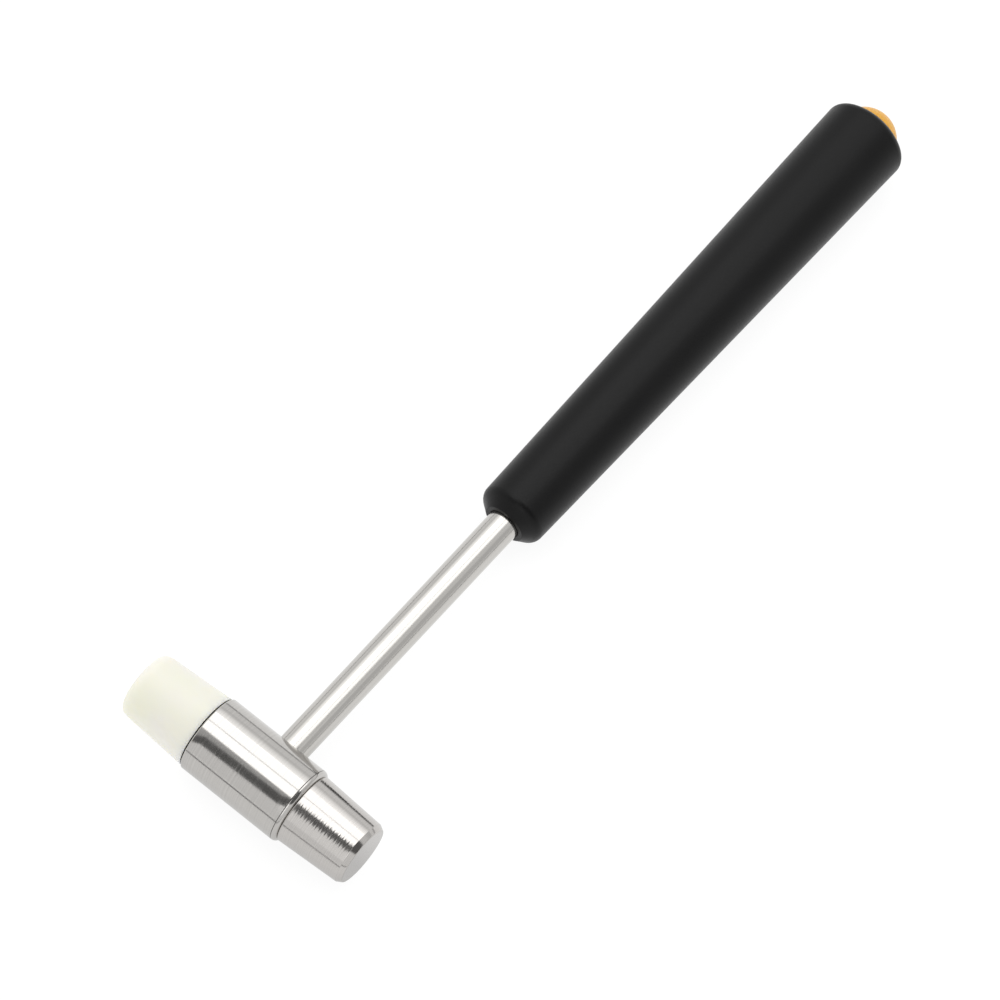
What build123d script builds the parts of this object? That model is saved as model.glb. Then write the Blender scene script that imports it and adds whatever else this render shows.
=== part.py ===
"""Small bench hammer with a screwed-in steel face and a screwed-in nylon face.

It lies on its side. +X runs along the handle from the head to the butt, the head's own
axis runs along Y with the nylon face towards +Y, and +Z is up. The two axes cross at right
angles at the point called crossing. The origin is under the middle of the whole hammer,
on the surface that it lies on. All sizes are in millimetres.
"""

from build123d import *
import os
from math import atan2, cos, sin, sqrt, tan

os.makedirs("parts", exist_ok=True)

# ---------------------------------------------------------------- driving dimensions

# head barrel, with distances along the head's axis counted from the shaft's axis
BARREL_RADIUS = 7.5
BARREL_TO_NYLON = 13.0
BARREL_TO_STEEL = 8.4
BARREL_RIM_BREAK = 0.2
BARREL_SHOULDER_ROUND = 0.9

# M8 threads that hold the two faces, drawn as plain cylinders
FACE_THREAD_RADIUS = 4.0
FACE_THREAD_CLEARANCE = 0.05
FACE_THREAD_RELIEF = 3.2
FACE_THREAD_RELIEF_LENGTH = 0.8
FACE_THREAD_LEAD = 0.5
NYLON_THREAD_LENGTH = 8.2
STEEL_THREAD_LENGTH = 4.0
TAPPING_RUNOUT = 0.5

# striking faces
NYLON_BASE_RADIUS = 7.2
NYLON_TIP_RADIUS = 6.4
NYLON_LENGTH = 14.8
NYLON_TIP_ROUND = 1.5
NYLON_NECK_RADIUS = 6.3
NYLON_NECK_LENGTH = 0.25
STEEL_BASE_RADIUS = 6.9
STEEL_TIP_RADIUS = 6.25
STEEL_LENGTH = 13.65
STEEL_BEVEL_LENGTH = 1.05
STEEL_BEVEL_DROP = 0.6

# shaft, with stations along the handle counted from the head's axis
SHAFT_HEAD_RADIUS = 2.98
SHAFT_GRIP_RADIUS = 3.12
SHAFT_SHOULDER_X = 6.0
SHAFT_TENON_RADIUS = 2.5
SHAFT_TENON_END_X = -4.0
SHAFT_SEAT_CLEARANCE = 0.02
TAIL_THREAD_RADIUS = 2.0
TAIL_THREAD_LENGTH = 7.5
END_CHAMFER = 0.4

# grip, a straight taper between the corners of its nose cone and its butt cone
GRIP_NOSE_X = 66.2
GRIP_BUTT_X = 175.0
GRIP_NOSE_RADIUS = 6.53
GRIP_BUTT_RADIUS = 8.4174
NOSE_CONE_LENGTH = 2.0
NOSE_FRONT_RADIUS = 4.1
NOSE_CORNER_ROUND = 2.0
BUTT_CONE_LENGTH = 1.2
BUTT_END_RADIUS = 6.6
BUTT_CORNER_ROUND = 1.8
GRIP_BORE_CLEARANCE = 0.02
COUNTERBORE_RADIUS = 4.9
COUNTERBORE_DEPTH = 14.0

# tail washer and nut, M4
WASHER_RADIUS = 4.5
WASHER_THICKNESS = 0.8
WASHER_HOLE_RADIUS = 2.15
NUT_ACROSS_FLATS = 7.0
NUT_THICKNESS = 3.2
NUT_CORNER_CHAMFER = 0.45
NUT_THREAD_CLEARANCE = 0.02

# end plug
PLUG_DOME_RADIUS = 5.7
PLUG_DOME_HEIGHT = 4.2
PLUG_RIM_HEIGHT = 0.3
PLUG_SPIGOT_LENGTH = 6.0
PLUG_SPIGOT_LEAD = 0.4
PLUG_WALL = 1.3
PLUG_SKIN = 1.6

# ---------------------------------------------------------------- where the axes lie

overall_front_x = -BARREL_RADIUS
overall_back_x = GRIP_BUTT_X + PLUG_DOME_HEIGHT
nose_corner_x = GRIP_NOSE_X + NOSE_CONE_LENGTH
butt_corner_x = GRIP_BUTT_X - BUTT_CONE_LENGTH
taper_angle = atan2(GRIP_BUTT_RADIUS - GRIP_NOSE_RADIUS, butt_corner_x - nose_corner_x)
butt_cone_angle = atan2(GRIP_BUTT_RADIUS - BUTT_END_RADIUS, BUTT_CONE_LENGTH)
round_start = BUTT_CORNER_ROUND * tan((taper_angle + butt_cone_angle) / 2)
widest_radius = (
    GRIP_BUTT_RADIUS - round_start * sin(taper_angle) + BUTT_CORNER_ROUND * (1 - cos(taper_angle))
)
nylon_reach = BARREL_TO_NYLON + NYLON_LENGTH
steel_reach = BARREL_TO_STEEL + STEEL_LENGTH
crossing = (
    -(overall_front_x + overall_back_x) / 2,
    -(nylon_reach - steel_reach) / 2,
    widest_radius,
)

along_handle = Plane(origin=crossing, x_dir=(1, 0, 0), z_dir=(0, 0, 1))
towards_nylon = Plane(origin=crossing, x_dir=(0, 1, 0), z_dir=(0, 0, 1))
towards_steel = Plane(origin=crossing, x_dir=(0, -1, 0), z_dir=(0, 0, 1))
handle_axis = Axis(crossing, (1, 0, 0))
head_axis = Axis(crossing, (0, 1, 0))


def handle_station(x):
    """A plane across the handle at distance x from the head's axis, facing the butt."""
    return Plane(
        origin=(crossing[0] + x, crossing[1], crossing[2]), x_dir=(0, 1, 0), z_dir=(1, 0, 0)
    )


def head_station(y, outwards):
    """A plane across the head at distance y from the shaft's axis, facing along outwards * Y."""
    return Plane(
        origin=(crossing[0], crossing[1] + y * outwards, crossing[2]),
        x_dir=(1, 0, 0),
        z_dir=(0, outwards, 0),
    )


# ---------------------------------------------------------------- head barrel

nylon_bore_depth = NYLON_THREAD_LENGTH + TAPPING_RUNOUT
steel_bore_depth = STEEL_THREAD_LENGTH + TAPPING_RUNOUT
shaft_seat_depth = BARREL_RADIUS - SHAFT_SHOULDER_X

with BuildPart() as head_barrel:
    with BuildSketch(towards_nylon):
        with BuildLine():
            Polyline(
                (-BARREL_TO_STEEL, 0),
                (-BARREL_TO_STEEL, BARREL_RADIUS),
                (BARREL_TO_NYLON - BARREL_RIM_BREAK, BARREL_RADIUS),
                (BARREL_TO_NYLON, BARREL_RADIUS - BARREL_RIM_BREAK),
                (BARREL_TO_NYLON, 0),
                close=True,
            )
        make_face()
    revolve(axis=head_axis)
    steel_rim = head_barrel.faces().sort_by(Axis.Y)[0].edges()
    fillet(steel_rim, radius=BARREL_SHOULDER_ROUND)
    with Locations(head_station(BARREL_TO_NYLON, 1)):
        Hole(radius=FACE_THREAD_RADIUS, depth=nylon_bore_depth)
    with Locations(head_station(BARREL_TO_STEEL, -1)):
        Hole(radius=FACE_THREAD_RADIUS, depth=steel_bore_depth)
    with Locations(handle_station(BARREL_RADIUS)):
        CounterBoreHole(
            radius=SHAFT_TENON_RADIUS,
            counter_bore_radius=SHAFT_HEAD_RADIUS + SHAFT_SEAT_CLEARANCE,
            counter_bore_depth=shaft_seat_depth,
            depth=BARREL_RADIUS - SHAFT_TENON_END_X + TAPPING_RUNOUT,
        )

# ---------------------------------------------------------------- striking faces

thread_radius = FACE_THREAD_RADIUS - FACE_THREAD_CLEARANCE


def spigot_outline(seat, thread_length):
    """Outline of a threaded spigot from its tip on the axis to the thread relief at the seat."""
    tip = seat - thread_length
    return [
        (tip, 0),
        (tip, thread_radius - FACE_THREAD_LEAD),
        (tip + FACE_THREAD_LEAD, thread_radius),
        (seat - FACE_THREAD_RELIEF_LENGTH, thread_radius),
        (seat - FACE_THREAD_RELIEF_LENGTH, FACE_THREAD_RELIEF),
        (seat, FACE_THREAD_RELIEF),
    ]


with BuildPart() as nylon_face:
    with BuildSketch(towards_nylon):
        with BuildLine():
            Polyline(
                *spigot_outline(BARREL_TO_NYLON, NYLON_THREAD_LENGTH),
                (BARREL_TO_NYLON, NYLON_NECK_RADIUS),
                (BARREL_TO_NYLON + NYLON_NECK_LENGTH, NYLON_NECK_RADIUS),
                (BARREL_TO_NYLON + NYLON_NECK_LENGTH, NYLON_BASE_RADIUS),
                (nylon_reach, NYLON_TIP_RADIUS),
                (nylon_reach, 0),
                close=True,
            )
        make_face()
    revolve(axis=head_axis)
    nylon_rim = nylon_face.faces().sort_by(Axis.Y)[-1].edges()
    fillet(nylon_rim, radius=NYLON_TIP_ROUND)

with BuildPart() as steel_face:
    with BuildSketch(towards_steel):
        with BuildLine():
            Polyline(
                *spigot_outline(BARREL_TO_STEEL, STEEL_THREAD_LENGTH),
                (BARREL_TO_STEEL, STEEL_BASE_RADIUS),
                (steel_reach - STEEL_BEVEL_LENGTH, STEEL_TIP_RADIUS),
                (steel_reach, STEEL_TIP_RADIUS - STEEL_BEVEL_DROP),
                (steel_reach, 0),
                close=True,
            )
        make_face()
    revolve(axis=head_axis)

# ---------------------------------------------------------------- shaft

counterbore_floor_x = GRIP_BUTT_X - COUNTERBORE_DEPTH
shaft_end_x = counterbore_floor_x + TAIL_THREAD_LENGTH - WASHER_THICKNESS

with BuildPart() as shaft:
    with BuildSketch(along_handle):
        with BuildLine():
            Polyline(
                (SHAFT_TENON_END_X, 0),
                (SHAFT_TENON_END_X, SHAFT_TENON_RADIUS - END_CHAMFER),
                (SHAFT_TENON_END_X + END_CHAMFER, SHAFT_TENON_RADIUS),
                (SHAFT_SHOULDER_X, SHAFT_TENON_RADIUS),
                (SHAFT_SHOULDER_X, SHAFT_HEAD_RADIUS),
                (GRIP_NOSE_X, SHAFT_GRIP_RADIUS),
                (counterbore_floor_x - WASHER_THICKNESS, SHAFT_GRIP_RADIUS),
                (counterbore_floor_x - WASHER_THICKNESS, TAIL_THREAD_RADIUS),
                (shaft_end_x - END_CHAMFER, TAIL_THREAD_RADIUS),
                (shaft_end_x, TAIL_THREAD_RADIUS - END_CHAMFER),
                (shaft_end_x, 0),
                close=True,
            )
        make_face()
    revolve(axis=handle_axis)

# ---------------------------------------------------------------- grip

bore_radius = SHAFT_GRIP_RADIUS + GRIP_BORE_CLEARANCE


def outer_rim(piece, x):
    """The widest round edge of a piece at distance x along the handle from the head's axis."""
    rims = [
        edge
        for edge in piece.edges().filter_by(GeomType.CIRCLE)
        if abs(edge.arc_center.X - crossing[0] - x) < 0.01
    ]
    return max(rims, key=lambda edge: edge.radius)


with BuildPart() as grip:
    with BuildSketch(along_handle):
        with BuildLine():
            Polyline(
                (GRIP_NOSE_X, 0),
                (GRIP_NOSE_X, NOSE_FRONT_RADIUS),
                (nose_corner_x, GRIP_NOSE_RADIUS),
                (butt_corner_x, GRIP_BUTT_RADIUS),
                (GRIP_BUTT_X, BUTT_END_RADIUS),
                (GRIP_BUTT_X, 0),
                close=True,
            )
        make_face()
    revolve(axis=handle_axis)
    fillet(outer_rim(grip, nose_corner_x), radius=NOSE_CORNER_ROUND)
    fillet(outer_rim(grip, butt_corner_x), radius=BUTT_CORNER_ROUND)
    with Locations(handle_station(GRIP_BUTT_X)):
        CounterBoreHole(
            radius=bore_radius,
            counter_bore_radius=COUNTERBORE_RADIUS,
            counter_bore_depth=COUNTERBORE_DEPTH,
        )

# ---------------------------------------------------------------- tail washer and nut

washer_x = counterbore_floor_x
nut_x = washer_x + WASHER_THICKNESS

with BuildPart() as tail_washer:
    with BuildSketch(handle_station(washer_x)):
        Circle(WASHER_RADIUS)
        Circle(WASHER_HOLE_RADIUS, mode=Mode.SUBTRACT)
    extrude(amount=WASHER_THICKNESS)

nut_corner_radius = NUT_ACROSS_FLATS / sqrt(3)
nut_end_radius = nut_corner_radius - NUT_CORNER_CHAMFER

with BuildPart() as tail_nut:
    with BuildSketch(handle_station(nut_x)):
        RegularPolygon(radius=NUT_ACROSS_FLATS / 2, side_count=6, major_radius=False)
    extrude(amount=NUT_THICKNESS)
    with BuildSketch(along_handle):
        with BuildLine():
            Polyline(
                (nut_x, 0),
                (nut_x, nut_end_radius),
                (nut_x + NUT_CORNER_CHAMFER, nut_corner_radius),
                (nut_x + NUT_THICKNESS - NUT_CORNER_CHAMFER, nut_corner_radius),
                (nut_x + NUT_THICKNESS, nut_end_radius),
                (nut_x + NUT_THICKNESS, 0),
                close=True,
            )
        make_face()
    revolve(axis=handle_axis, mode=Mode.INTERSECT)
    with Locations(handle_station(nut_x + NUT_THICKNESS)):
        Hole(radius=TAIL_THREAD_RADIUS + NUT_THREAD_CLEARANCE)

# ---------------------------------------------------------------- end plug

plug_tail_x = GRIP_BUTT_X - PLUG_SPIGOT_LENGTH
plug_rim_x = GRIP_BUTT_X + PLUG_RIM_HEIGHT
plug_crown_x = GRIP_BUTT_X + PLUG_DOME_HEIGHT
dome_rise = PLUG_DOME_HEIGHT - PLUG_RIM_HEIGHT
dome_sphere_radius = (PLUG_DOME_RADIUS**2 + dome_rise**2) / (2 * dome_rise)
dome_centre_x = plug_crown_x - dome_sphere_radius
dome_middle = (
    dome_centre_x + sqrt(dome_sphere_radius**2 - (PLUG_DOME_RADIUS / 2) ** 2),
    PLUG_DOME_RADIUS / 2,
)
cavity_radius = COUNTERBORE_RADIUS - PLUG_WALL

with BuildPart() as end_plug:
    with BuildSketch(along_handle):
        with BuildLine():
            Polyline(
                (plug_crown_x - PLUG_SKIN, 0),
                (plug_crown_x - PLUG_SKIN, cavity_radius),
                (plug_tail_x, cavity_radius),
                (plug_tail_x, COUNTERBORE_RADIUS - PLUG_SPIGOT_LEAD),
                (plug_tail_x + PLUG_SPIGOT_LEAD, COUNTERBORE_RADIUS),
                (GRIP_BUTT_X, COUNTERBORE_RADIUS),
                (GRIP_BUTT_X, PLUG_DOME_RADIUS),
                (plug_rim_x, PLUG_DOME_RADIUS),
            )
            ThreePointArc((plug_rim_x, PLUG_DOME_RADIUS), dome_middle, (plug_crown_x, 0))
            Line((plug_crown_x, 0), (plug_crown_x - PLUG_SKIN, 0))
        make_face()
    revolve(axis=handle_axis)

# ---------------------------------------------------------------- labels and files

pieces = {
    "head_barrel": head_barrel,
    "steel_face": steel_face,
    "nylon_face": nylon_face,
    "shaft": shaft,
    "grip": grip,
    "tail_washer": tail_washer,
    "tail_nut": tail_nut,
    "end_plug": end_plug,
}

for node, piece in pieces.items():
    piece.part.label = node
    export_step(piece.part, f"parts/{node}.step")
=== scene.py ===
"""Looks for the small two-faced bench hammer: meshes, materials, studio light and camera.

Sizes are in metres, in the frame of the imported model: +X along the handle from the head to
the butt, +Y along the head towards the nylon face, +Z up. Along either axis a station is the
distance from the point where the two axes cross.
"""

from math import atan2, cos, degrees, hypot, pi, radians, sin, tan

import bpy
from mathutils import Matrix, Vector


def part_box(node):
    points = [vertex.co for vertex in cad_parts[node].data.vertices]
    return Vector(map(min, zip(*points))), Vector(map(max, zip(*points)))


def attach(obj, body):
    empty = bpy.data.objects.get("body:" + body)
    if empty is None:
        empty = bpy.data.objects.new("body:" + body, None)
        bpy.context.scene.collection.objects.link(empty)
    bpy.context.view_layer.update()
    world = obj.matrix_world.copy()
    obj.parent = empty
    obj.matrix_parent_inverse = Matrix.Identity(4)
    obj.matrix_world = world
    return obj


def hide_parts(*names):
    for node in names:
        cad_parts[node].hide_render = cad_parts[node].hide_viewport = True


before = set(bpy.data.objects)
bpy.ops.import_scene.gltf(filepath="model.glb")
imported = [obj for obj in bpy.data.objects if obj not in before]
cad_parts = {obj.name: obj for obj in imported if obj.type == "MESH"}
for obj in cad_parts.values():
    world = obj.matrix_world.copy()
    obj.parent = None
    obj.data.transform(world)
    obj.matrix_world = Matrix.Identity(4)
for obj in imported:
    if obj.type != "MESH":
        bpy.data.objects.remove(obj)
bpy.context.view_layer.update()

MM = 0.001

# ---------------------------------------------------------------- places, from the frame

barrel_low, barrel_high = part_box("head_barrel")
nylon_low, nylon_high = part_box("nylon_face")
steel_low, steel_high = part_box("steel_face")
shaft_low, shaft_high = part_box("shaft")
grip_low, grip_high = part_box("grip")
plug_low, plug_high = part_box("end_plug")
washer_low, washer_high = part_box("tail_washer")
nut_low, nut_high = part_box("tail_nut")

CROSSING = Vector(
    (
        (barrel_low.x + barrel_high.x) / 2,
        (shaft_low.y + shaft_high.y) / 2,
        (barrel_low.z + barrel_high.z) / 2,
    )
)
ALONG_HANDLE = Vector((1, 0, 0))
ALONG_HEAD = Vector((0, 1, 0))

BARREL_RADIUS = (barrel_high.x - barrel_low.x) / 2
NYLON_SEAT = barrel_high.y - CROSSING.y
STEEL_SEAT = barrel_low.y - CROSSING.y
NYLON_END = nylon_high.y - CROSSING.y
STEEL_END = steel_low.y - CROSSING.y
NYLON_SPIGOT_TIP = nylon_low.y - CROSSING.y
STEEL_SPIGOT_TIP = steel_high.y - CROSSING.y
NYLON_BASE_RADIUS = (nylon_high.x - nylon_low.x) / 2
STEEL_BASE_RADIUS = (steel_high.x - steel_low.x) / 2

SHAFT_TENON_END = shaft_low.x - CROSSING.x
SHAFT_END = shaft_high.x - CROSSING.x
SHAFT_GRIP_RADIUS = (shaft_high.z - shaft_low.z) / 2
GRIP_NOSE = grip_low.x - CROSSING.x
GRIP_BUTT = grip_high.x - CROSSING.x
PLUG_TAIL = plug_low.x - CROSSING.x
PLUG_CROWN = plug_high.x - CROSSING.x
PLUG_RADIUS = (plug_high.z - plug_low.z) / 2
WASHER_FRONT = washer_low.x - CROSSING.x
WASHER_BACK = washer_high.x - CROSSING.x
WASHER_RADIUS = (washer_high.z - washer_low.z) / 2
NUT_FRONT = nut_low.x - CROSSING.x
NUT_BACK = nut_high.x - CROSSING.x
NUT_FLATS = nut_high.y - nut_low.y

# ---------------------------------------------------------------- the rest, as in the CAD

BARREL_RIM_BREAK = 0.2 * MM
BARREL_SHOULDER_ROUND = 0.9 * MM
SHAFT_SHOULDER = 6.0 * MM
SHAFT_HEAD_RADIUS = 2.98 * MM
SHAFT_TENON_RADIUS = 2.5 * MM
SHAFT_FIT = 0.02 * MM
TAIL_THREAD_RADIUS = 2.0 * MM

SPIGOT_RELIEF_RADIUS = 3.2 * MM
SPIGOT_RELIEF_LENGTH = 0.8 * MM
SPIGOT_LEAD = 0.5 * MM
TAPPING_RUNOUT = 0.5 * MM

NYLON_TIP_RADIUS = 6.4 * MM
NYLON_TIP_ROUND = 1.5 * MM
NYLON_NECK_RADIUS = 6.3 * MM
NYLON_NECK_LENGTH = 0.25 * MM
STEEL_TIP_RADIUS = 6.25 * MM
STEEL_BEVEL_LENGTH = 1.05 * MM
STEEL_BEVEL_DROP = 0.6 * MM

NOSE_FRONT_RADIUS = 4.1 * MM
NOSE_CONE_LENGTH = 2.0 * MM
NOSE_CORNER_RADIUS = 6.53 * MM
NOSE_CORNER_ROUND = 2.0 * MM
BUTT_END_RADIUS = 6.6 * MM
BUTT_CONE_LENGTH = 1.2 * MM
BUTT_CORNER_RADIUS = 8.4174 * MM
BUTT_CORNER_ROUND = 1.8 * MM
GRIP_POCKET_RADIUS = 4.9 * MM
WASHER_HOLE_RADIUS = 2.15 * MM
NUT_CHAMFER = 0.45 * MM
PLUG_RIM_HEIGHT = 0.3 * MM
PLUG_LEAD = 0.4 * MM
PLUG_WALL = 1.3 * MM
PLUG_SKIN = 1.6 * MM

# ---------------------------------------------------------------- fine detail, in the meshes only

SMALL_EDGE = 0.12 * MM
SOFT_EDGE = 0.2 * MM
BARREL_EDGE = 0.1 * MM
ROD_EDGE = 0.15 * MM
STEEL_EDGE = 0.3 * MM
SEAT_START = SPIGOT_RELIEF_RADIUS + 0.2 * MM
NYLON_TAPER_END = NYLON_TIP_RADIUS + 0.055 * MM

SCRIBE_WIDTH = 0.14 * MM
SCRIBE_DEPTH = 0.05 * MM
TURNING_PITCH = 0.64 * MM
TURNING_HEIGHT = 0.002 * MM
TURNING_MARGIN = 0.35 * MM
TURNING_FADE = 0.5 * MM

FACE_PITCH = 1.25 * MM
FACE_THREAD_RADIUS = 3.95 * MM
FACE_THREAD_DEPTH = 0.6 * MM
FACE_THREAD_FIT = 0.05 * MM
FACE_HOLE_COUNTERSINK = 0.35 * MM
DRILL_POINT_SLOPE = 0.58
TENON_PITCH = 0.8 * MM
TENON_THREAD_DEPTH = 0.42 * MM
TAIL_PITCH = 0.7 * MM
TAIL_THREAD_DEPTH = 0.36 * MM
THREAD_STEPS = 16
THREAD_CREST = 0.12
THREAD_FLANKS = 0.7

# ---------------------------------------------------------------- outlines

SLIGHT_TURN = radians(8)
MOST_OF_A_SIDE = 0.45


def arc(centre, radius, start, stop, steps):
    """Points of an arc in the (station, radius) plane. Angles are in degrees."""
    turns = [radians(start + (stop - start) * i / steps) for i in range(steps + 1)]
    return [(centre[0] + radius * cos(a), centre[1] + radius * sin(a)) for a in turns]


def rounded(before, corner, after, radius, steps):
    """Points of the arc that rounds a corner, smaller than asked where its sides are short."""
    towards = [(p[0] - corner[0], p[1] - corner[1]) for p in (before, after)]
    sides = [hypot(*t) for t in towards]
    units = [(t[0] / side, t[1] / side) for t, side in zip(towards, sides)]
    across = units[0][0] * units[1][1] - units[0][1] * units[1][0]
    facing = units[0][0] * units[1][0] + units[0][1] * units[1][1]
    turn = pi - abs(atan2(across, facing))
    if turn < SLIGHT_TURN:
        return [corner]
    cut = min(radius * tan(turn / 2), MOST_OF_A_SIDE * min(sides))
    reach = cut / (2 * sin(turn / 2) ** 2)
    centre = [corner[k] + (units[0][k] + units[1][k]) * reach for k in (0, 1)]
    start = [corner[k] + units[0][k] * cut - centre[k] for k in (0, 1)]
    first = degrees(atan2(start[1], start[0]))
    sweep = degrees(turn) if across < 0 else -degrees(turn)
    return arc(centre, cut / tan(turn / 2), first, first + sweep, steps)


def eased(outline, radius, steps=5):
    """The outline with each of its corners rounded to the radius, where its sides allow."""
    points = [outline[0]]
    for before, corner, after in zip(outline, outline[1:], outline[2:]):
        points += rounded(before, corner, after, radius, steps)
    return points + [outline[-1]]


def divided(outline, spacing):
    """The outline with its long sides cut into lengths of about the spacing."""
    points = [outline[0]]
    for a, b in zip(outline, outline[1:]):
        count = max(1, round(hypot(b[0] - a[0], b[1] - a[1]) / spacing))
        for i in range(1, count + 1):
            t = i / count
            points.append((a[0] + (b[0] - a[0]) * t, a[1] + (b[1] - a[1]) * t))
    return points


# ---------------------------------------------------------------- turned meshes

SHARP_TURN = radians(35)
ON_AXIS = 1e-7
NORMALS_BY_AREA = 80


def lathe(name, outline, along, segments=256, worked=None):
    """A turned solid about the axis through CROSSING.

    The outline is (station, radius) points. It runs from axis to axis, or, where it starts off
    the axis, it is a closed ring. worked(station, radius, angle) gives the finished radius.
    """
    side = Vector((0, 0, 1))
    across = along.cross(side)
    vertices, rings = [], []
    for station, radius in outline:
        centre = CROSSING + along * station
        if radius < ON_AXIS:
            rings.append([len(vertices)] * segments)
            vertices.append(centre)
            continue
        rings.append(list(range(len(vertices), len(vertices) + segments)))
        for i in range(segments):
            angle = 2 * pi * i / segments
            finished_radius = worked(station, radius, angle) if worked else radius
            spoke = side * cos(angle) + across * sin(angle)
            vertices.append(centre + spoke * finished_radius)
    pairs = list(zip(rings, rings[1:]))
    if outline[0][1] >= ON_AXIS:
        pairs.append((rings[-1], rings[0]))
    faces = []
    for a, b in pairs:
        for i in range(segments):
            j = (i + 1) % segments
            loop = list(dict.fromkeys((a[i], b[i], b[j], a[j])))
            if len(loop) > 2:
                faces.append(loop)
    return new_piece(name, vertices, faces)


def new_piece(name, vertices, faces):
    """A mesh object with its faces turned outwards and its sharp edges marked."""
    mesh = bpy.data.meshes.new(name)
    mesh.from_pydata([tuple(v) for v in vertices], [], faces)
    piece = bpy.data.objects.new(name, mesh)
    bpy.context.scene.collection.objects.link(piece)
    if signed_volume(mesh) < 0:
        mesh.flip_normals()
    smooth(mesh)
    return piece


def signed_volume(mesh):
    """Six times the volume of a closed mesh, negative where its faces point inwards."""
    total = 0.0
    for face in mesh.polygons:
        corners = [mesh.vertices[v].co for v in face.vertices]
        for b, c in zip(corners[1:], corners[2:]):
            total += corners[0].dot(b.cross(c))
    return total


def smooth(mesh):
    """Shades the mesh smooth, apart from its sharp edges."""
    mesh.shade_smooth()
    mesh.set_sharp_from_angle(angle=SHARP_TURN)


def carved(piece, cutter):
    """The piece less the cutter, which is removed."""
    modifier = piece.modifiers.new("cut", "BOOLEAN")
    modifier.operation = "DIFFERENCE"
    modifier.solver = "EXACT"
    modifier.object = cutter
    bpy.context.view_layer.update()
    graph = bpy.context.evaluated_depsgraph_get()
    result = bpy.data.meshes.new_from_object(piece.evaluated_get(graph))
    piece.modifiers.clear()
    piece.data = result
    bpy.data.objects.remove(cutter)
    smooth(result)
    return piece


def finished(piece, look, body, node):
    """The piece with its material and even shading, riding on its body in its node's place."""
    piece.data.materials.clear()
    piece.data.materials.append(look)
    modifier = piece.modifiers.new("even_normals", "WEIGHTED_NORMAL")
    modifier.keep_sharp = True
    modifier.weight = NORMALS_BY_AREA
    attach(piece, body)
    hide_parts(node)


# ---------------------------------------------------------------- screw threads


def threaded_run(low, high, radius, pitch):
    """Outline points at fixed parts of the thread's pitch, the same on a screw and in its hole."""
    spacing = pitch / THREAD_STEPS
    first = int(low // spacing) + 1
    last = int(high // spacing)
    middle = [(i * spacing, radius) for i in range(first, last + 1)]
    return [(low, radius)] + middle + [(high, radius)]


def groove(station, angle, pitch):
    """Depth of a right-hand thread's groove, 0 on its crest and 1 at its root."""
    phase = (station / pitch - angle / (2 * pi)) % 1
    return min(1, max(0, (abs(2 * phase - 1) - THREAD_CREST) / THREAD_FLANKS))


def screw(low, high, crest, pitch, depth):
    """Cuts a thread into the outside of a turned piece between two stations."""

    def worked(station, radius, angle):
        if station < low or station > high:
            return radius
        return min(radius, crest - depth * groove(station, angle, pitch))

    return worked


# ---------------------------------------------------------------- the head

SAME_RADIUS = 1e-6


def tapped_hole(mouth, floor):
    """Outline of a threaded hole, from its countersunk mouth to the drill's cone on the axis."""
    inwards = 1 if floor > mouth else -1
    crest = FACE_THREAD_RADIUS + FACE_THREAD_FIT
    ends = sorted((mouth + inwards * FACE_HOLE_COUNTERSINK, floor))
    run = threaded_run(*ends, crest, FACE_PITCH)
    if inwards < 0:
        run.reverse()
    drill_point = DRILL_POINT_SLOPE * (crest - FACE_THREAD_DEPTH)
    return [(mouth, crest + FACE_HOLE_COUNTERSINK)] + run + [(floor + inwards * drill_point, 0)]


def barrel():
    """The polished barrel, with both tapped holes and the stepped hole for the shaft."""
    nylon_floor = NYLON_SPIGOT_TIP - TAPPING_RUNOUT
    steel_floor = STEEL_SPIGOT_TIP + TAPPING_RUNOUT
    nylon_hole = tapped_hole(NYLON_SEAT, nylon_floor)
    steel_hole = tapped_hole(STEEL_SEAT, steel_floor)
    shoulder_start = STEEL_SEAT + BARREL_SHOULDER_ROUND
    shoulder_centre = (shoulder_start, BARREL_RADIUS - BARREL_SHOULDER_ROUND)
    shoulder = arc(shoulder_centre, BARREL_SHOULDER_ROUND, 90, 180, steps=18)
    sides = eased(
        [
            nylon_hole[0],
            (NYLON_SEAT, BARREL_RADIUS - BARREL_RIM_BREAK),
            (NYLON_SEAT - BARREL_RIM_BREAK, BARREL_RADIUS),
            (shoulder_start + SCRIBE_WIDTH / 2, BARREL_RADIUS),
            (shoulder_start, BARREL_RADIUS - SCRIBE_DEPTH),
            shoulder[1],
        ],
        BARREL_EDGE,
    )
    outside = sides + shoulder[2:] + [steel_hole[0]]
    crest = FACE_THREAD_RADIUS + FACE_THREAD_FIT
    root = crest - FACE_THREAD_DEPTH

    def worked(station, radius, angle):
        if radius > crest + SAME_RADIUS:
            return radius
        past_tip = NYLON_SPIGOT_TIP - station if station > 0 else station - STEEL_SPIGOT_TIP
        fade = max(0, 1 - max(past_tip, 0) / TAPPING_RUNOUT)
        return root + FACE_THREAD_DEPTH * (1 - groove(station, angle, FACE_PITCH)) * fade

    outline = nylon_hole[::-1] + divided(outside, spacing=1.5 * MM)[1:-1] + steel_hole
    piece = lathe("barrel", outline, ALONG_HEAD, worked=worked)
    beyond = 2 * MM
    tenon_hole = SHAFT_TENON_RADIUS + SHAFT_FIT
    seat_hole = SHAFT_HEAD_RADIUS + SHAFT_FIT
    drill = lathe(
        "drill",
        [
            (SHAFT_TENON_END - TAPPING_RUNOUT, 0),
            (SHAFT_TENON_END - TAPPING_RUNOUT, tenon_hole),
            (SHAFT_SHOULDER, tenon_hole),
            (SHAFT_SHOULDER, seat_hole),
            (BARREL_RADIUS + beyond, seat_hole),
            (BARREL_RADIUS + beyond, 0),
        ],
        ALONG_HANDLE,
        segments=128,
    )
    return carved(piece, drill)


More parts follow.
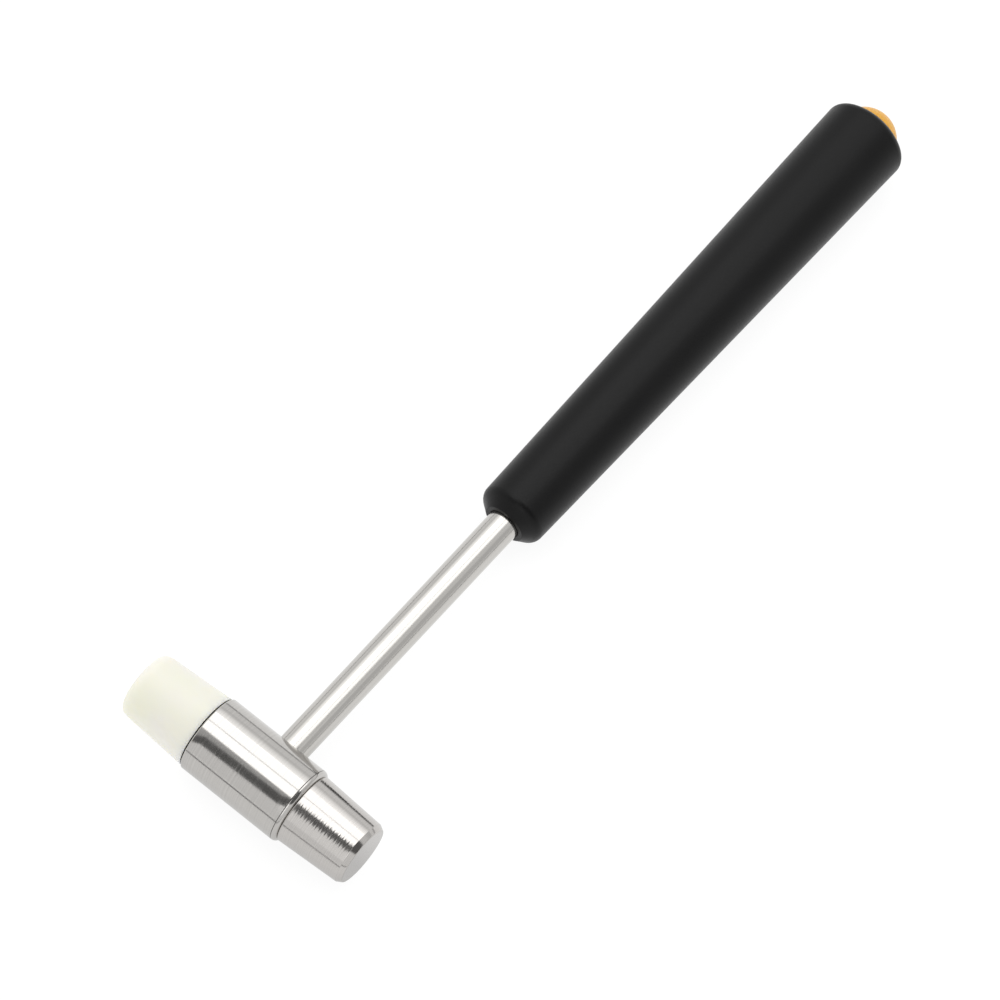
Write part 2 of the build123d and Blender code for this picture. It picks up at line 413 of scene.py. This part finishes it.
def spigot(seat, tip):
    """Outline of a face's threaded end, from its tip on the axis to the foot of its relief."""
    outwards = 1 if seat > tip else -1
    shoulder = seat - outwards * SPIGOT_RELIEF_LENGTH
    thread_runout = 0.15 * MM
    chamfer_end = tip + outwards * SPIGOT_LEAD
    run = threaded_run(*sorted((chamfer_end, shoulder)), FACE_THREAD_RADIUS, FACE_PITCH)
    if outwards < 0:
        run.reverse()
    lead = divided(
        [(tip, FACE_THREAD_RADIUS - SPIGOT_LEAD), (chamfer_end, FACE_THREAD_RADIUS)],
        spacing=0.08 * MM,
    )
    relief = eased(
        [
            (shoulder, FACE_THREAD_RADIUS),
            (shoulder + outwards * thread_runout, SPIGOT_RELIEF_RADIUS),
            (seat, SPIGOT_RELIEF_RADIUS),
            (seat, SPIGOT_RELIEF_RADIUS + 1 * MM),
        ],
        SOFT_EDGE,
    )
    return [(tip, 0)] + lead[:-1] + run + relief[1:-1]


def face_thread(seat, tip):
    """Cuts the thread of a face's spigot, from its tip to its relief."""
    relief = SPIGOT_RELIEF_LENGTH if seat > tip else -SPIGOT_RELIEF_LENGTH
    ends = sorted((tip, seat - relief))
    return screw(*ends, FACE_THREAD_RADIUS, FACE_PITCH, FACE_THREAD_DEPTH)


def nylon_striker():
    """The nylon face: a short neck at the barrel, which its material paints dark as shade, a slow
    taper and a rounded tip.
    """
    round_centre = (NYLON_END - NYLON_TIP_ROUND, NYLON_TIP_RADIUS - NYLON_TIP_ROUND)
    side = eased(
        [
            (NYLON_SEAT, SEAT_START),
            (NYLON_SEAT, NYLON_NECK_RADIUS),
            (NYLON_SEAT + NYLON_NECK_LENGTH, NYLON_NECK_RADIUS),
            (NYLON_SEAT + NYLON_NECK_LENGTH, NYLON_BASE_RADIUS),
            (round_centre[0], NYLON_TAPER_END),
        ],
        SMALL_EDGE,
    )
    tip = arc(round_centre, NYLON_TIP_ROUND, 88, 0, steps=14)
    end = divided([tip[-1], (NYLON_END, 0)], spacing=0.4 * MM)[1:]
    outline = spigot(NYLON_SEAT, NYLON_SPIGOT_TIP) + divided(side, spacing=0.8 * MM) + tip[1:] + end
    cut_thread = face_thread(NYLON_SEAT, NYLON_SPIGOT_TIP)
    return lathe("nylon_striker", outline, ALONG_HEAD, worked=cut_thread)


def turning_mark(station):
    """Height of the rings that the tool left on the steel face, a mix of three pitches."""
    turn = 2 * pi * station / TURNING_PITCH
    wave = sin(turn) + 0.6 * sin(1.618 * turn + 1.0) + 0.5 * sin(0.377 * turn + 2.0)
    return TURNING_HEIGHT * wave


def steel_striker():
    """The steel face: a turned cone with visible rings, and a bevel round the flat end."""
    cut_thread = face_thread(STEEL_SEAT, STEEL_SPIGOT_TIP)
    cone_start = STEEL_SEAT - TURNING_MARGIN
    cone_end = STEEL_END + STEEL_BEVEL_LENGTH + TURNING_MARGIN
    side = eased(
        [
            (STEEL_SEAT, SEAT_START),
            (STEEL_SEAT, STEEL_BASE_RADIUS),
            (STEEL_END + STEEL_BEVEL_LENGTH, STEEL_TIP_RADIUS),
            (STEEL_END, STEEL_TIP_RADIUS - STEEL_BEVEL_DROP),
            (STEEL_END, 0),
        ],
        STEEL_EDGE,
        steps=8,
    )

    def worked(station, radius, angle):
        radius = cut_thread(station, radius, angle)
        if cone_end < station < cone_start:
            from_ends = min(cone_start - station, station - cone_end)
            radius += min(1, from_ends / TURNING_FADE) * turning_mark(station)
        return radius

    outline = spigot(STEEL_SEAT, STEEL_SPIGOT_TIP) + divided(side, spacing=TURNING_PITCH / 9)
    return lathe("steel_striker", outline, ALONG_HEAD, worked=worked)


# ---------------------------------------------------------------- the handle


def rod():
    """The shaft: threaded tenon, ground rod that thickens slightly to the grip, threaded tail."""
    chamfer = 0.4 * MM
    tenon_gap, tenon_undercut = 0.8 * MM, 0.65 * MM
    tail_gap, tail_undercut = 0.5 * MM, 0.4 * MM
    tenon_ends = (SHAFT_TENON_END + chamfer, SHAFT_SHOULDER - tenon_gap)
    tenon = threaded_run(*tenon_ends, SHAFT_TENON_RADIUS, TENON_PITCH)
    tenon_root = SHAFT_TENON_RADIUS - TENON_THREAD_DEPTH
    tail_start = WASHER_FRONT - (WASHER_BACK - WASHER_FRONT)
    tail_ends = (tail_start + tail_gap, SHAFT_END - chamfer)
    tail = threaded_run(*tail_ends, TAIL_THREAD_RADIUS, TAIL_PITCH)
    tail_root = TAIL_THREAD_RADIUS - TAIL_THREAD_DEPTH
    body = eased(
        [
            tenon[-1],
            (SHAFT_SHOULDER - tenon_undercut, tenon_root),
            (SHAFT_SHOULDER, tenon_root),
            (SHAFT_SHOULDER, SHAFT_HEAD_RADIUS),
            (GRIP_NOSE, SHAFT_GRIP_RADIUS),
            (tail_start, SHAFT_GRIP_RADIUS),
            (tail_start, tail_root),
            (tail_start + tail_undercut, tail_root),
            tail[0],
        ],
        ROD_EDGE,
    )
    outline = (
        [(SHAFT_TENON_END, 0), (SHAFT_TENON_END, SHAFT_TENON_RADIUS - chamfer)]
        + tenon
        + divided(body, spacing=2 * MM)[1:-1]
        + tail
        + [(SHAFT_END, TAIL_THREAD_RADIUS - chamfer), (SHAFT_END, 0)]
    )
    tenon_thread = screw(
        SHAFT_TENON_END, tenon[-1][0], SHAFT_TENON_RADIUS, TENON_PITCH, TENON_THREAD_DEPTH
    )
    tail_thread = screw(
        tail[0][0], SHAFT_END, TAIL_THREAD_RADIUS, TAIL_PITCH, TAIL_THREAD_DEPTH
    )

    def worked(station, radius, angle):
        return tail_thread(station, tenon_thread(station, radius, angle), angle)

    return lathe("rod", outline, ALONG_HANDLE, segments=144, worked=worked)


def handle_grip():
    """The black grip: coned nose, slow taper, coned butt with the pocket for the plug."""
    bore = SHAFT_GRIP_RADIUS + SHAFT_FIT
    corners = [
        (GRIP_NOSE, NOSE_FRONT_RADIUS),
        (GRIP_NOSE + NOSE_CONE_LENGTH, NOSE_CORNER_RADIUS),
        (GRIP_BUTT - BUTT_CONE_LENGTH, BUTT_CORNER_RADIUS),
        (GRIP_BUTT, BUTT_END_RADIUS),
    ]
    nose = rounded(*corners[:3], NOSE_CORNER_ROUND, steps=16)
    butt = rounded(*corners[1:], BUTT_CORNER_ROUND, steps=16)
    inside = eased(
        [
            butt[-1],
            corners[-1],
            (GRIP_BUTT, GRIP_POCKET_RADIUS),
            (WASHER_FRONT, GRIP_POCKET_RADIUS),
            (WASHER_FRONT, bore),
            (GRIP_NOSE, bore),
            corners[0],
            nose[0],
        ],
        SOFT_EDGE,
    )
    outline = nose[:-1] + divided([nose[-1], butt[0]], spacing=2.5 * MM) + butt[1:]
    outline += divided(inside, spacing=3 * MM)[1:-1]
    return lathe("handle_grip", outline, ALONG_HANDLE, segments=192)


def butt_plug():
    """The orange plug: a domed cap with a hollow spigot that is pressed into the grip."""
    rim = GRIP_BUTT + PLUG_RIM_HEIGHT
    rise = PLUG_CROWN - rim
    sphere = (PLUG_RADIUS**2 + rise**2) / (2 * rise)
    start = degrees(atan2(PLUG_RADIUS, sphere - rise))
    dome = arc((PLUG_CROWN - sphere, 0), sphere, start, 0, steps=28)
    cavity = GRIP_POCKET_RADIUS - PLUG_WALL
    spigot_side = eased(
        [
            (PLUG_CROWN - PLUG_SKIN, 0),
            (PLUG_CROWN - PLUG_SKIN, cavity),
            (PLUG_TAIL, cavity),
            (PLUG_TAIL, GRIP_POCKET_RADIUS - PLUG_LEAD),
            (PLUG_TAIL + PLUG_LEAD, GRIP_POCKET_RADIUS),
            (GRIP_BUTT, GRIP_POCKET_RADIUS),
            (GRIP_BUTT, PLUG_RADIUS),
            (rim, PLUG_RADIUS),
            dome[2],
        ],
        SMALL_EDGE,
    )
    outline = divided(spigot_side, spacing=0.8 * MM) + dome[3:-1] + [(PLUG_CROWN, 0)]
    return lathe("butt_plug", outline, ALONG_HANDLE, segments=192)


def plain_washer():
    """A stamped washer with a softly rounded rim."""
    middle_radius = (WASHER_HOLE_RADIUS + WASHER_RADIUS) / 2
    ring = eased(
        [
            (WASHER_FRONT, middle_radius),
            (WASHER_FRONT, WASHER_RADIUS),
            (WASHER_BACK, WASHER_RADIUS),
            (WASHER_BACK, WASHER_HOLE_RADIUS),
            (WASHER_FRONT, WASHER_HOLE_RADIUS),
            (WASHER_FRONT, middle_radius),
        ],
        SMALL_EDGE,
    )
    return lathe("plain_washer", ring[:-1], ALONG_HANDLE, segments=128)


def hex_nut():
    """The M4 nut: six flats, chamfered corners and its thread."""
    corner = NUT_FLATS / 2 / cos(radians(30))
    hole = TAIL_THREAD_RADIUS + SHAFT_FIT
    countersink = 0.25 * MM
    end_margin = 0.3 * MM
    outside = divided(
        [
            (NUT_FRONT, corner - NUT_CHAMFER - end_margin),
            (NUT_FRONT, corner - NUT_CHAMFER),
            (NUT_FRONT + NUT_CHAMFER, corner),
            (NUT_BACK - NUT_CHAMFER, corner),
            (NUT_BACK, corner - NUT_CHAMFER),
            (NUT_BACK, corner - NUT_CHAMFER - end_margin),
            (NUT_BACK, hole + countersink),
        ],
        spacing=0.09 * MM,
    )
    inside = threaded_run(NUT_FRONT + countersink, NUT_BACK - countersink, hole, TAIL_PITCH)
    outline = outside + inside[::-1] + [(NUT_FRONT, hole + countersink)]

    def worked(station, radius, angle):
        if radius > hole + countersink + SAME_RADIUS:
            from_flat = (angle % radians(60)) - radians(30)
            return min(radius, NUT_FLATS / 2 / cos(from_flat))
        if radius <= hole + SAME_RADIUS:
            return radius - TAIL_THREAD_DEPTH * groove(station, angle, TAIL_PITCH)
        return radius

    return lathe("hex_nut", outline, ALONG_HANDLE, segments=144, worked=worked)


# ---------------------------------------------------------------- materials

# Dirt and painted shade in the barrel's scribed groove.
SCRIBE_DIRT_AND_SHADE = (0.1, 0.095, 0.09)
# Painted shade in the nylon's neck, the dark line of its gap at the barrel.
NECK_SHADE = (0.05, 0.048, 0.042)
MARK_SHADE = 0.93
RINGS_ON_END = 0.7


def node_adder(tree):
    """A function that adds a node to the tree. Its inputs are values, or outputs to wire in."""

    def add(kind, inputs=None, **settings):
        node = tree.nodes.new(kind)
        for key, value in settings.items():
            setattr(node, key, value)
        for socket, value in (inputs or {}).items():
            if isinstance(value, bpy.types.NodeSocket):
                tree.links.new(value, node.inputs[socket])
            else:
                node.inputs[socket].default_value = value
        return node

    return add


def material(name, metallic=0.0):
    """A new material, two functions that add a node and wire an output in, and its shader."""
    made = bpy.data.materials.new(name)
    made.use_nodes = True
    tree = made.node_tree
    shader = tree.nodes["Principled BSDF"]
    shader.inputs["Metallic"].default_value = metallic

    def wire(output, socket):
        tree.links.new(output, shader.inputs[socket])

    return made, node_adder(tree), wire, shader


def position(add):
    """The place on the object, in metres."""
    return add("ShaderNodeTexCoord").outputs["Object"]


def part_of(add, place, axis):
    """One coordinate of a place."""
    return add("ShaderNodeSeparateXYZ", {0: place}).outputs[axis]


def ranged(add, value, low, high, source_low=0.0, source_high=1.0):
    """The value, carried from its source range to low ... high."""
    return add(
        "ShaderNodeMapRange",
        {"Value": value, "From Min": source_low, "From Max": source_high,
         "To Min": low, "To Max": high},
    ).outputs["Result"]


def noise(add, place, scale, detail=2.0):
    """Cloudy noise, with about this many clouds in a metre."""
    return add(
        "ShaderNodeTexNoise",
        {"Vector": place, "Scale": scale, "Detail": detail},
    ).outputs["Fac"]


def line_noise(add, station, scale, detail=2.0):
    """Noise that changes along one direction only, as tool marks do."""
    return add(
        "ShaderNodeTexNoise",
        {"W": station, "Scale": scale, "Detail": detail},
        noise_dimensions="1D",
    ).outputs["Fac"]


def mixed(add, factor, first, second):
    """A colour between two, by the factor. Each is an output, or a colour with its alpha."""
    return add(
        "ShaderNodeMix", {"Factor": factor, "A": first, "B": second}, data_type="RGBA"
    ).outputs["Result"]


def tinted(add, factor, first, second):
    """A colour between two plain colours, by the factor."""
    return mixed(add, factor, (*first, 1), (*second, 1))


def near(add, value, centre, reach):
    """1 where the value is within reach of the centre, and 0 elsewhere."""
    return add("ShaderNodeMath", {0: value, 1: centre, 2: reach}, operation="COMPARE").outputs[0]


def bumped(add, height, distance, under=None):
    """The normal after a bump of the given height, on top of another bump if there is one."""
    inputs = {"Height": height, "Distance": distance, "Strength": 1.0}
    if under is not None:
        inputs["Normal"] = under
    return add("ShaderNodeBump", inputs).outputs[0]


def from_head_axis(add, place):
    """Distance from the head's axis, which runs along Y."""
    centred = add("ShaderNodeVectorMath", {0: place, 1: CROSSING}, operation="SUBTRACT").outputs[0]
    flat = add("ShaderNodeVectorMath", {0: centred, 1: (1, 0, 1)}, operation="MULTIPLY").outputs[0]
    return add("ShaderNodeVectorMath", {0: flat}, operation="LENGTH").outputs["Value"]


def turned_steel(name, colour, roughness, mark_height, mark_scale, scribed_at=None):
    """Bright steel turned about the head's axis, with fine rings on its sides and its end.

    roughness runs from the least to the most worn places. mark_scale is rings in a metre, and
    scribed_at is the station of a scribed line, painted dark as dirt and painted shade in its
    groove.
    """
    made, add, wire, _ = material(name, metallic=1.0)
    place = position(add)
    along = part_of(add, place, "Y")
    radial = from_head_axis(add, place)
    station = add(
        "ShaderNodeMath", {0: radial, 1: RINGS_ON_END, 2: along}, operation="MULTIPLY_ADD"
    )
    rings = line_noise(add, station.outputs[0], mark_scale, detail=3.0)
    smudges = noise(add, place, 320.0, detail=4.0)
    worn = add("ShaderNodeMath", {0: rings, 1: smudges}, operation="MULTIPLY").outputs[0]
    wire(ranged(add, worn, *roughness, 0.1, 0.45), "Roughness")
    tint = tinted(add, ranged(add, rings, 0, 1, 0.3, 0.7), colour, in_marks(colour))
    if scribed_at is not None:
        # Painted dark along the scribed line: dirt and painted shade in its groove.
        line = near(add, along, CROSSING.y + scribed_at, SCRIBE_WIDTH / 2)
        tint = mixed(add, line, tint, (*SCRIBE_DIRT_AND_SHADE, 1))
    wire(tint, "Base Color")
    rings_bump = bumped(add, rings, distance=mark_height)
    wire(bumped(add, smudges, distance=2e-6, under=rings_bump), "Normal")
    return made


def drawn_steel(name, colour, roughness):
    """Bright rod, polished along its length."""
    made, add, wire, _ = material(name, metallic=1.0)
    place = position(add)
    stretched = add("ShaderNodeVectorMath", {0: place, 1: (9, 1500, 1500)}, operation="MULTIPLY")
    lines = noise(add, stretched.outputs[0], 1.0, detail=3.0)
    wire(ranged(add, lines, *roughness, 0.3, 0.7), "Roughness")
    marks = ranged(add, lines, 0, 1, 0.35, 0.65)
    wire(tinted(add, marks, colour, in_marks(colour)), "Base Color")
    wire(bumped(add, lines, distance=2.5e-6), "Normal")
    return made


def in_marks(colour):
    """The slightly darker colour of steel in its tool marks."""
    return tuple(MARK_SHADE * c for c in colour)


def let_light_through(shader, weight, radius, scale):
    """Makes a plastic scatter light below its surface. The radius is for red, green and blue."""
    shader.inputs["Subsurface Weight"].default_value = weight
    shader.inputs["Subsurface Radius"].default_value = radius
    shader.inputs["Subsurface Scale"].default_value = scale


def nylon_plastic():
    """Natural nylon: ivory, translucent, unevenly yellowed, with painted shade in its neck."""
    made, add, wire, shader = material("ivory_nylon")
    place = position(add)
    clouds = ranged(add, noise(add, place, 95.0, detail=3.0), 0, 1, 0.35, 0.68)
    ivory = tinted(add, clouds, (0.735, 0.72, 0.67), (0.735, 0.735, 0.62))
    # Painted shade: the neck is coloured dark, as the shadow in its gap at the barrel.
    neck = CROSSING.y + NYLON_SEAT + 0.55 * NYLON_NECK_LENGTH
    neck_shade = near(add, part_of(add, place, "Y"), neck, NYLON_NECK_LENGTH / 2)
    wire(mixed(add, neck_shade, ivory, (*NECK_SHADE, 1)), "Base Color")
    let_light_through(shader, weight=1.0, radius=(1.0, 0.95, 0.8), scale=3 * MM)
    grain = noise(add, place, 2200.0)
    wire(ranged(add, grain, 0.36, 0.5), "Roughness")
    wire(bumped(add, grain, distance=4e-6), "Normal")
    return made


def grip_plastic():
    """Black moulding with a satin surface, a very fine grain and slightly uneven gloss."""
    made, add, wire, shader = material("black_grip")
    place = position(add)
    patches = noise(add, place, 110.0, detail=3.0)
    wire(tinted(add, patches, (0.0015, 0.0015, 0.0016), (0.0035, 0.0035, 0.0037)), "Base Color")
    grain = noise(add, place, 3200.0, detail=1.0)
    gloss = add("ShaderNodeMath", {0: patches, 1: 0.35, 2: grain}, operation="MULTIPLY_ADD")
    wire(ranged(add, gloss.outputs[0], 0.32, 0.46, 0.35, 1.0), "Roughness")
    shader.inputs["Specular IOR Level"].default_value = 0.19
    wire(bumped(add, grain, distance=9e-6), "Normal")
    return made


def plug_plastic():
    """Orange moulding, glossier than the grip."""
    made, add, wire, shader = material("orange_plug")
    place = position(add)
    patches = noise(add, place, 200.0)
    wire(tinted(add, patches, (0.63, 0.3, 0.014), (0.68, 0.35, 0.022)), "Base Color")
    let_light_through(shader, weight=0.15, radius=(1.0, 0.5, 0.2), scale=1 * MM)
    grain = noise(add, place, 2600.0)
    wire(ranged(add, grain, 0.28, 0.4), "Roughness")
    wire(bumped(add, grain, distance=4e-6), "Normal")
    return made


def zinc_steel():
    """Zinc-plated steel of the nut and washer."""
    made, add, wire, _ = material("zinc_plate", metallic=1.0)
    spangle = noise(add, position(add), 900.0, detail=3.0)
    wire(ranged(add, spangle, 0.25, 0.45), "Roughness")
    wire(tinted(add, spangle, (0.58, 0.6, 0.64), (0.68, 0.68, 0.68)), "Base Color")
    return made


# ---------------------------------------------------------------- the pieces, finished

barrel_metal = turned_steel(
    "polished_barrel",
    colour=(0.535, 0.52, 0.5),
    roughness=(0.07, 0.17),
    mark_height=0.9e-6,
    mark_scale=2600.0,
    scribed_at=STEEL_SEAT + BARREL_SHOULDER_ROUND,
)
face_metal = turned_steel(
    "turned_face",
    colour=(0.55, 0.53, 0.51),
    roughness=(0.1, 0.2),
    mark_height=2.2e-6,
    mark_scale=4200.0,
)
rod_metal = drawn_steel("bright_rod", colour=(0.565, 0.55, 0.525), roughness=(0.1, 0.2))
zinc = zinc_steel()

finished(barrel(), barrel_metal, "hammer", "head_barrel")
finished(steel_striker(), face_metal, "steel_face", "steel_face")
finished(nylon_striker(), nylon_plastic(), "nylon_face", "nylon_face")
finished(rod(), rod_metal, "hammer", "shaft")
finished(handle_grip(), grip_plastic(), "hammer", "grip")
finished(butt_plug(), plug_plastic(), "hammer", "end_plug")
finished(plain_washer(), zinc, "hammer", "tail_washer")
finished(hex_nut(), zinc, "hammer", "tail_nut")

# ---------------------------------------------------------------- studio

STUDIO_HEIGHT = 0.6
SOFTBOX_RADIANCE = 1.2
SOFTBOX_SEAM = 0.02
SOFTBOX_PANELS = (
    ((-0.322, 0.17), (-0.06, 0.74)),
    ((0.17, 0.85), (-0.06, 0.74)),
    ((0.17, 0.85), (-0.47, -0.06)),
)

# A card is its corners, aside from the head, and its brightness. The dark card is lower than
# the others, so that it hides what is above it.
CARD_HEIGHT = STUDIO_HEIGHT * 1.02
DARK_CARD_HEIGHT = STUDIO_HEIGHT * 0.98
DARK_CARD = (
    (-0.33, -0.15), (-0.33, 0.1), (-0.05, -0.06), (0.17, -0.06), (0.17, -0.48),
    (0.34, -0.6), (0.34, -5.0), (-0.68, -5.0), (-0.68, -0.3),
)
CARDS = {
    "gap": (((-0.33, -0.124), (-0.33, 0.128), (-2.4, 1.2), (-2.4, 0.851)), 0.13),
    "half_card": (((-0.33, 0.128), (-0.33, 0.95), (-1.3, 0.95), (-1.3, 0.63)), 0.55),
    "fill_card": (
        ((-0.75, -0.25), (-0.75, 0.07), (-1.2, 0.28), (-3.5, 0.5), (-3.5, -0.3)), 1.08
    ),
    "dark_card": (DARK_CARD, 0.13),
    "near_side": (((0.34, -1.3), (0.34, -0.6), (2.0, -0.6), (2.6, -1.3)), 0.85),
    "far_side": (((0.34, -5.0), (0.34, -1.3), (2.6, -1.3), (4.0, -5.0)), 0.68),
    "strip_light": (((-0.67, -0.4), (-0.67, -0.25), (-3.2, -0.6), (-3.2, -0.9)), 2.6),
}

TABLE_HALF = 1.6
TABLE_LAYER = 0.1 * MM
TABLE_EDGE = (-0.12, -0.074)
TABLE_EDGE_HALF = 0.6
HEAD_SHADOW_FROM = CROSSING.x - 20 * MM
HEAD_SHADOW_TO = CROSSING.x + 25 * MM
HEAD_SHADOW = ((0.0, 0.98), (0.2, 0.9), (0.36, 0.7), (0.47, 0.7), (0.6, 0.86), (0.95, 1.06))

# Brightness of the room's walls, by the height of the direction in which they are seen.
HEAD_WALLS = ((0.0, 0.9), (1.0, 0.94))
HANDLE_WALLS = (
    (0.0, 0.3), (0.05, 0.38), (0.09, 0.92), (0.35, 0.94), (0.4, 0.8), (0.48, 0.89),
    (0.56, 1.2), (0.74, 1.65), (0.78, 0.88), (1.0, 0.88),
)


def overhead(x, y, height=STUDIO_HEIGHT):
    """A place in the studio, x and y heights aside from the head."""
    return Vector((CROSSING.x + x * height, CROSSING.y + y * height, CROSSING.z + height))


def softbox():
    """Three glowing panels over the hammer, with narrow seams that show in polished steel."""
    for i, (x_edges, y_edges) in enumerate(SOFTBOX_PANELS):
        low = overhead(x_edges[0] + SOFTBOX_SEAM, y_edges[0] + SOFTBOX_SEAM)
        high = overhead(x_edges[1] - SOFTBOX_SEAM, y_edges[1] - SOFTBOX_SEAM)
        light = bpy.data.lights.new(f"softbox_{i}", "AREA")
        light.shape = "RECTANGLE"
        light.size, light.size_y = (high - low).xy
        light.energy = SOFTBOX_RADIANCE * pi * light.size * light.size_y
        holder = bpy.data.objects.new(light.name, light)
        holder.location = (low + high) / 2
        holder.visible_camera = False
        bpy.context.scene.collection.objects.link(holder)


def flat_piece(name, corners, look):
    """One face of the studio, which isn't part of the hammer."""
    mesh = bpy.data.meshes.new(name)
    mesh.from_pydata([tuple(c) for c in corners], [], [tuple(range(len(corners)))])
    mesh.materials.append(look)
    piece = bpy.data.objects.new(name, mesh)
    bpy.context.scene.collection.objects.link(piece)
    return piece


def reflected_only(piece):
    """Keeps a piece of the studio out of sight, except in glossy surfaces."""
    piece.visible_camera = False
    piece.visible_diffuse = False
    piece.visible_shadow = False
    piece.visible_transmission = False


def glowing(name, level, albedo=0.0, pattern=None):
    """A matt surface that also glows, at this brightness or in this pattern of it."""
    look, add, wire, shader = material(name)
    shader.inputs["Base Color"].default_value = (albedo, albedo, albedo, 1)
    shader.inputs["Roughness"].default_value = 1.0
    shader.inputs["Specular IOR Level"].default_value = 0.0
    shader.inputs["Emission Color"].default_value = (1, 1, 1, 1)
    shader.inputs["Emission Strength"].default_value = level
    if pattern:
        wire(pattern(add), "Emission Color")
    return look


def cards():
    """Cards beside the softbox that only show in glossy surfaces, where they make the bands."""
    for name, (corners, level) in CARDS.items():
        height = DARK_CARD_HEIGHT if name == "dark_card" else CARD_HEIGHT
        places = [overhead(x, y, height) for x, y in corners]
        reflected_only(flat_piece(name, places, glowing(name, level)))


def table_piece(name, x_edges, half_width, z, look):
    """A level rectangle at height z, between two distances along X from the head."""
    low, high = (CROSSING.x + x for x in x_edges)
    sides = (-half_width, half_width)
    places = [(low, sides[0], z), (high, sides[0], z), (high, sides[1], z), (low, sides[1], z)]
    return flat_piece(name, places, look)


def ramp(add, factor, stops):
    """A grey scale with the given (place, brightness) stops."""
    node = add("ShaderNodeValToRGB", {"Fac": factor})
    elements = node.color_ramp.elements
    while len(elements) < len(stops):
        elements.new(0.5)
    for element, (place, level) in zip(elements, stops):
        element.position = place
        element.color = (level, level, level, 1)
    return node.outputs["Color"]


def head_shadow(add):
    """The soft shadow of the head on the table, as a pattern across X."""
    across = part_of(add, position(add), "X")
    return ramp(add, ranged(add, across, 0, 1, HEAD_SHADOW_FROM, HEAD_SHADOW_TO), HEAD_SHADOW)


def table():
    """A pale, evenly glowing table, in layers that are each seen in their own way.

    The camera sees the floor, and the bounce lights matt surfaces. Steel reflects a table with
    the head's shadow on it and a dark edge.
    """
    x_edges = (-TABLE_HALF, TABLE_HALF)
    pale = glowing("pale_table", 0.88, albedo=0.15)
    floor = table_piece("floor", x_edges, TABLE_HALF, 0, pale)
    floor.visible_glossy = False
    floor.visible_diffuse = False
    lit = glowing("bounce_tone", 1.35)
    bounce = table_piece("table_bounce", x_edges, TABLE_HALF, -2 * TABLE_LAYER, lit)
    bounce.visible_camera = False
    bounce.visible_glossy = False
    tone = glowing("table_tone", 1.0, pattern=head_shadow)
    reflected_only(table_piece("table_reflected", x_edges, TABLE_HALF, -TABLE_LAYER, tone))
    dark = glowing("edge_tone", 0.24)
    reflected_only(table_piece("table_edge", TABLE_EDGE, TABLE_EDGE_HALF, TABLE_LAYER, dark))


def room():
    """Walls of a pale room, brighter above the handle and with a dark line at its horizon."""
    world = bpy.data.worlds.new("room")
    bpy.context.scene.world = world
    world.use_nodes = True
    tree = world.node_tree
    add = node_adder(tree)
    direction = add("ShaderNodeTexCoord").outputs["Generated"]
    handle_side = ranged(add, part_of(add, direction, "X"), 0, 1, -0.1, 0.2)
    upwards = part_of(add, direction, "Z")
    walls = mixed(
        add, handle_side, ramp(add, upwards, HEAD_WALLS), ramp(add, upwards, HANDLE_WALLS)
    )
    tree.links.new(walls, tree.nodes["Background"].inputs["Color"])


softbox()
cards()
table()
room()

# ---------------------------------------------------------------- camera

CAMERA_AIM = CROSSING + Vector((69.45, 3.5, 0)) * MM
CAMERA_DISTANCE = 1.029
CAMERA_AZIMUTH = radians(-62.8)
CAMERA_ELEVATION = radians(62.8)
CAMERA_ROLL = radians(-13.2)
CAMERA_LENS = 207.6


def place_camera():
    """The camera, turned towards its aim and rolled about its line of sight."""
    back = Vector(
        (
            sin(CAMERA_AZIMUTH) * cos(CAMERA_ELEVATION),
            -cos(CAMERA_AZIMUTH) * cos(CAMERA_ELEVATION),
            sin(CAMERA_ELEVATION),
        )
    )
    level_right = Vector((cos(CAMERA_AZIMUTH), sin(CAMERA_AZIMUTH), 0))
    level_up = back.cross(level_right)
    up = level_up * cos(CAMERA_ROLL) + level_right * sin(CAMERA_ROLL)
    right = up.cross(back)
    data = bpy.data.cameras.new("camera")
    data.sensor_width = 36
    data.lens = CAMERA_LENS
    data.clip_start = 0.01
    holder = bpy.data.objects.new("camera", data)
    bpy.context.scene.collection.objects.link(holder)
    place = CAMERA_AIM + back * CAMERA_DISTANCE
    turned = Matrix((right, up, back)).transposed()
    holder.matrix_world = Matrix.Translation(place) @ turned.to_4x4()
    bpy.context.scene.camera = holder


place_camera()
bpy.context.scene.view_settings.view_transform = "Standard"
